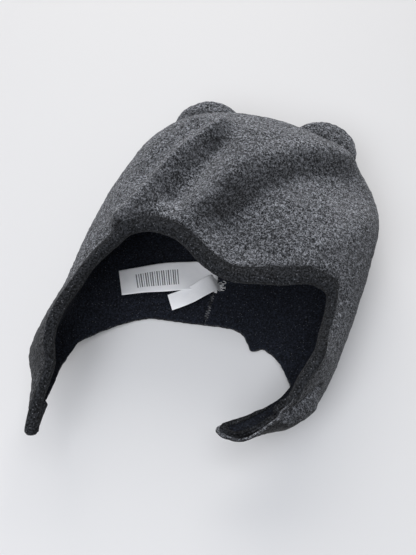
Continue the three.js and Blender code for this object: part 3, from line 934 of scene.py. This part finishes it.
def outer_dressing(place, edge_gap, turn):
    """How far the outer fleece is lifted: its nap, less the ear seam and the line where the band is sewn."""
    banded = (turn < BANDED_TO) | (turn > BANDED_FROM)
    off = (edge_gap - BAND_WIDTH - BAND_STITCHING["gap"]) / BAND_STITCHING["width"]
    sewn = BAND_STITCHING["depth"] * np.exp(-(off**2)) * banded
    return nap(place, **OUTER_NAP) - sewn - seam_dip(place, EAR_SEAM_POINT, EAR_SEAM_WAY, **EAR_SEAM_DIP)


def lining_dressing(place, edge_gap, turn):
    """How far the lining is lifted: its nap, less the centre seam."""
    return nap(place, **LINING_NAP) - seam_dip(place, CENTRE_SEAM_POINT, CENTRE_SEAM_WAY, **CENTRE_SEAM_DIP)


def tucked(start):
    """From 0 to 1, how far the binding is tucked inside the outer fleece: only at the right chin strap."""
    return smoothstep(start, *TUCKED[:2]) * (1 - smoothstep(start, *TUCKED[2:]))


def outer_panels():
    corners, faces = cloth(PATTERN, int(OUTER_GRID["rows"] * FINE), 0.0, OUTER_CLOTH, outer_dressing)
    whole = mesh_object("outer_cloth", on_table(corners), faces, HEATHER)
    front = cut_along(whole, "front_panel_fleece", EAR_SEAM_POINT, EAR_SEAM_WAY, HEATHER)
    back = cut_along(whole, "back_panel_fleece", EAR_SEAM_POINT, -EAR_SEAM_WAY, HEATHER)
    bpy.data.objects.remove(whole)
    for piece, node in ((front, "front_panel"), (back, "back_panel")):
        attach(piece, "root")
        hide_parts(node)


def lining_panels():
    pattern = Pattern(int(LINING_GRID["columns"] * FINE))
    rows = int(LINING_GRID["rows"] * FINE)
    inset = TUCK * tucked(pattern.start)
    corners, faces = cloth(pattern, rows, HEM, LINING_TOP, lining_dressing, inset)
    whole = mesh_object("lining_cloth", on_table(corners, LINING_TOP), faces, BLACK_LINING)
    right = cut_along(whole, "lining_right_fleece", CENTRE_SEAM_POINT, CENTRE_SEAM_WAY, BLACK_LINING)
    left = cut_along(whole, "lining_left_fleece", CENTRE_SEAM_POINT, -CENTRE_SEAM_WAY, BLACK_LINING)
    bpy.data.objects.remove(whole)
    for piece, node in ((right, "lining_right"), (left, "lining_left")):
        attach(piece, "root")
        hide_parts(node)


def face_band():
    """The black binding folded over the face edge, from round the tip of one chin strap to round the
    other's: plump, and drawn down along its stitching. At the right strap it is tucked inside the outer
    fleece."""
    first = np.argmax(PATTERN.start > BAND_FROM)
    last = np.argmax(PATTERN.start > BAND_TO)
    order = np.r_[first : PATTERN.columns, 0:last]
    start = PATTERN.start[order]
    tuck = tucked(start)
    loose = 1 + LOOSE_FOLD["more"] * np.exp(-(((start - LOOSE_FOLD["middle"]) / LOOSE_FOLD["width"]) ** 2))
    lines = []
    for share in np.linspace(1, 0, BAND_LINES):
        eased = share + (1 - share) * tucked(PATTERN.start) * TUCK / BAND_WIDTH
        place, normal = PATTERN.places(1 - PATTERN.band_share * eased)
        rising = math.sin(math.pi * min(1, BAND_PLUMP["full_by"] - share) / 2)
        plump = BAND_CLOTH * (BAND_PLUMP["at_seam"] + BAND_PLUMP["more"] * rising)
        lines.append((place[order], normal[order], plump))
    edge, normal, way_out = (part[order] for part in (PATTERN.edge, PATTERN.edge_normal, PATTERN.way_out))
    # The depths of the under sides of its two flanges
    outer_side = (1 - tuck) * -PLY_GAP + tuck * (OUTER_CLOTH + TUCK_GAP)
    inner_side = HEM + PLY_GAP
    thinner = 1 - TUCKED_THINNER * tuck
    section = [place - way * (outer_side - plump * thinner)[:, None] for place, way, plump in lines]

    def fold(top, bottom, bulge, angles):
        for angle in np.radians(angles):
            depth = (top + bottom) / 2 - (bottom - top) / 2 * math.cos(angle)
            reach = -TUCK * tuck + bulge * math.sin(angle)
            section.append(edge - normal * depth[:, None] + way_out * reach[:, None])

    bulge = (FOLD_ROOM + BAND_CLOTH) * loose * (1 - TUCKED_FLATTER * tuck)
    fold(outer_side - BAND_CLOTH * thinner, inner_side + BAND_CLOTH, bulge, np.linspace(15, 165, 9))
    section += [place - way * (inner_side + plump) for place, way, plump in lines[::-1]]
    shown = len(section)  # the corners after these are of its under side
    section += [place - way * inner_side for place, way, plump in lines[::2]]
    fold(outer_side, inner_side, FOLD_ROOM * loose * (1 - TUCKED_CLOSER * tuck), np.linspace(150, 30, 5))
    section += [place - way * outer_side[:, None] for place, way, plump in lines[::-2]]
    section = np.array(section)
    ways = unit(section[:shown] - section[:shown].mean(axis=0))
    waves = grain(section[:shown], BAND_WAVES["size"], BAND_WAVES["seed"])
    rough = nap(section[:shown], **BAND_NAP) + BAND_WAVES["height"] * waves
    section[:shown] += ways * rough[..., None]
    rings = [section[:, k] for k in range(section.shape[1])]
    corners, faces = skin(rings, rings[0].mean(axis=0), rings[-1].mean(axis=0))
    band = mesh_object("face_band_fleece", corners, faces, BLACK_BAND)
    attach(band, "root")
    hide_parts("front_band")


def corners_of(piece):
    """The corners of a piece's mesh, in millimetres."""
    corners = np.empty(3 * len(piece.data.vertices), np.float32)
    piece.data.vertices.foreach_get("co", corners)
    return corners.reshape(-1, 3).astype(float) / MM


def put_corners(piece, corners):
    piece.data.vertices.foreach_set("co", (corners * MM).astype(np.float32).ravel())
    piece.data.update()


def freeze(piece):
    """Turns a piece's modifiers into its mesh."""
    shaped = piece.evaluated_get(bpy.context.evaluated_depsgraph_get())
    mesh = bpy.data.meshes.new_from_object(shaped)
    piece.modifiers.clear()
    piece.data = mesh


def puff_up(piece, pinned):
    """Fills a sewn shell with air by a short cloth simulation. The pinned corners stay, and no other one
    moves further than EAR_MOST."""
    before = corners_of(piece)
    held = piece.vertex_groups.new(name="sewn_root")
    held.add([int(k) for k in np.flatnonzero(pinned)], 1.0, "REPLACE")
    air = piece.modifiers.new("air", "CLOTH")
    air.settings.vertex_group_mass = "sewn_root"
    air.settings.mass = EAR_AIR["mass"]
    air.settings.quality = EAR_AIR["quality"]
    air.settings.use_pressure = True
    air.settings.uniform_pressure_force = EAR_AIR["pressure"]
    air.settings.effector_weights.gravity = 0
    air.collision_settings.use_collision = False
    for step in range(1, EAR_AIR["steps"] + 1):
        bpy.context.scene.frame_set(step)
    freeze(piece)
    bpy.context.scene.frame_set(1)
    moved = corners_of(piece) - before
    far = np.linalg.norm(moved, axis=1, keepdims=True)
    put_corners(piece, before + moved * np.minimum(1, EAR_MOST / np.maximum(far, 1e-9)))


def ear(node, middle):
    """An ear of two plies of fleece, sewn round, turned and a little full, its root against the crown."""
    piece = bpy.data.objects.new(node + "_fleece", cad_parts[node].data.copy())
    bpy.context.scene.collection.objects.link(piece)
    piece.data.name = piece.name
    even = piece.modifiers.new("even", "REMESH")
    even.mode = "VOXEL"
    even.voxel_size = EAR_VOXEL * MM
    freeze(piece)
    middle = np.array(middle, float) - ORIGIN
    corners = corners_of(piece)
    shares = np.linspace(0.02, 0.3, 15)  # of the way from the crown to the edge: where the ears' roots are
    crown = [PATTERN.places(np.full(PATTERN.columns // 4, share), 4)[0] for share in shares]
    near = KDTree(sum(len(row) for row in crown))
    for k, place in enumerate(np.vstack(crown)):
        near.insert(place, k)
    near.balance()
    pinned = np.array([near.find(corner)[2] < EAR_ROOT for corner in corners])
    slack = np.where(pinned, 1.0, EAR_SLACK)
    corners[:, 2] = middle[2] + (corners[:, 2] - middle[2]) * slack
    put_corners(piece, corners)
    puff_up(piece, pinned)
    fine = piece.modifiers.new("fine", "SUBSURF")
    fine.levels = fine.render_levels = 2
    freeze(piece)
    corners = corners_of(piece)
    normals = np.empty(3 * len(corners), np.float32)
    piece.data.vertex_normals.foreach_get("vector", normals)
    normals = normals.reshape(-1, 3).astype(float)
    reach = np.linalg.norm((corners - middle)[:, :2], axis=1) / EAR_HALF_WIDTH
    sewn = smoothstep(reach, EAR_EDGE_SEAM["start"], EAR_EDGE_SEAM["end"])
    off = (corners - middle)[:, 2] / EAR_EDGE_SEAM["width"]
    seam = EAR_EDGE_SEAM["depth"] * np.exp(-(off**2)) * sewn
    put_corners(piece, corners + normals * (nap(corners, **EAR_NAP) - seam)[:, None])
    piece.data.shade_smooth()
    piece.data.materials.clear()
    piece.data.materials.append(HEATHER)
    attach(piece, "root")
    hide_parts(node)


def smooth_line(stops, count):
    """Evenly spaced places on a smooth line through stops, with how far along it each is."""
    stops = np.array(stops, float)
    ends = np.vstack([2 * stops[0] - stops[1], stops, 2 * stops[-1] - stops[-2]])
    spot = np.linspace(0, len(stops) - 1.0001, 40 * len(stops))
    at = np.floor(spot).astype(int)
    t = (spot - at)[:, None]
    p0, p1, p2, p3 = (ends[at + step] for step in range(4))
    fine = p1 + (p2 - p0) * t / 2 + (2 * p0 - 5 * p1 + 4 * p2 - p3) * t**2 / 2
    fine = fine + (3 * p1 - p0 - 3 * p2 + p3) * t**3 / 2
    step = np.linalg.norm(np.diff(fine[:, :3], axis=0), axis=1)
    length = np.concatenate([[0], np.cumsum(step)])
    wanted = np.linspace(0, length[-1], count)
    return np.stack([np.interp(wanted, length, column) for column in fine.T], axis=1), wanted


def ribbon(node, width, printed, line):
    """A satin ribbon sewn in at one end, with a woven edge and the waves of a limp ribbon."""
    count = int(RIBBON_ROWS * width)
    middle, along = smooth_line(line, count)
    roll = np.radians(middle[:, 3:])
    middle = middle[:, :3] - ORIGIN
    way = unit(np.gradient(middle, axis=0))
    level = unit(np.stack([way[:, 1], -way[:, 0], np.zeros(count)], axis=1))
    rise = unit(np.cross(level, way))
    across = level * np.cos(roll) - rise * np.sin(roll)
    up = unit(np.cross(across, way))
    spread = np.linspace(-1, 1, RIBBON_POINTS)
    selvage = SELVAGE["height"] * np.exp(-(((np.abs(spread) - SELVAGE["middle"]) / SELVAGE["width"]) ** 2))
    half = RIBBON / 2 * (1 - RIBBON_EDGE["thinner"] * np.abs(spread) ** RIBBON_EDGE["power"])
    over = np.r_[spread, spread[::-1]] * width / 2
    rings, marks = [], []
    for k, at in enumerate(along):
        twist = TWIST["height"] * math.sin(at / TWIST["length"] + TWIST["start"]) * spread
        wave = twist + CUP["height"] * (spread**2 - CUP["flat"]) * math.sin(at / CUP["length"])
        sheet = middle[k] + np.outer(spread * width / 2, across[k]) + np.outer(wave, up[k])
        top = sheet + np.outer(half + selvage, up[k])
        rings.append(np.vstack([top, (sheet - np.outer(half, up[k]))[::-1]]))
        marks.append(np.stack([np.full(len(over), at if printed else -at), over], axis=1))
    corners, faces = skin(rings, rings[0].mean(axis=0), rings[-1].mean(axis=0))
    made = mesh_object(node + "_satin", corners, faces, SATIN)
    marks = np.vstack([marks[0].mean(axis=0), *marks, marks[-1].mean(axis=0)])
    corner_of = np.empty(len(made.data.loops), np.int32)
    made.data.loops.foreach_get("vertex_index", corner_of)
    flat = made.data.uv_layers.new(name="ribbon")
    flat.data.foreach_set("uv", marks[corner_of].astype(np.float32).ravel())
    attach(made, "root")
    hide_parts(node)


def thread_runs():
    """The overlock stitching along the lining's centre seam: a zigzag, and loose loops at the labels."""
    zigzag = []
    for k, y in enumerate(np.arange(ZIGZAG["start"], ZIGZAG["end"], ZIGZAG["step"])):
        x = CENTRE_SEAM_X + (ZIGZAG["half_width"] if k % 2 else -ZIGZAG["half_width"])
        zigzag.append((x, y, HEM + ZIGZAG["above"] + ZIGZAG["above"] * (k % 3 == 0)))
    runs = [zigzag]
    rng = np.random.default_rng(LOOPS["seed"])
    turns = np.linspace(0, 2 * math.pi * LOOP_LAP, LOOP_STOPS)
    for _ in range(LOOPS["count"]):
        x, y = rng.uniform(*LOOPS["x"]), rng.uniform(*LOOPS["y"])
        size, tilt = rng.uniform(*LOOPS["size"]), rng.uniform(0, math.pi)
        run = []
        for a in turns:
            wide = size * math.cos(a + tilt)
            deep = LOOPS["squash"] * size * math.sin(a + tilt)
            run.append((x + wide, y + deep, HEM + LOOPS["above"] + LOOPS["rise"] * math.sin(a)))
        runs.append(run)
    return runs


def seam_threads():
    """A round thread along each run: dark in the seam, white in the loops."""
    angles = np.linspace(0, 2 * math.pi, THREAD_SIDES + 1)[:-1]
    for number, run in enumerate(thread_runs()):
        line = smooth_line(run, STEPS_PER_STOP * len(run))[0] - ORIGIN
        way = unit(np.gradient(line, axis=0))
        side = unit(np.cross(way, [0.0, 0.0, 1.0]))
        up = np.cross(side, way)
        rings = []
        for k, place in enumerate(line):
            round_way = np.outer(np.cos(angles), side[k]) + np.outer(np.sin(angles), up[k])
            rings.append(place + THREAD / 2 * round_way)
        corners, faces = skin(rings, line[0], line[-1])
        colour = WHITE_THREAD if number else SPUN_THREAD
        piece = mesh_object("seam_thread_%d" % number, corners, faces, colour)
        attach(piece, "root")


set_camera()
set_table()
set_light()
outer_panels()
lining_panels()
face_band()
for one in EARS:
    ear(**one)
for one in LABELS:
    ribbon(**one)
seam_threads()
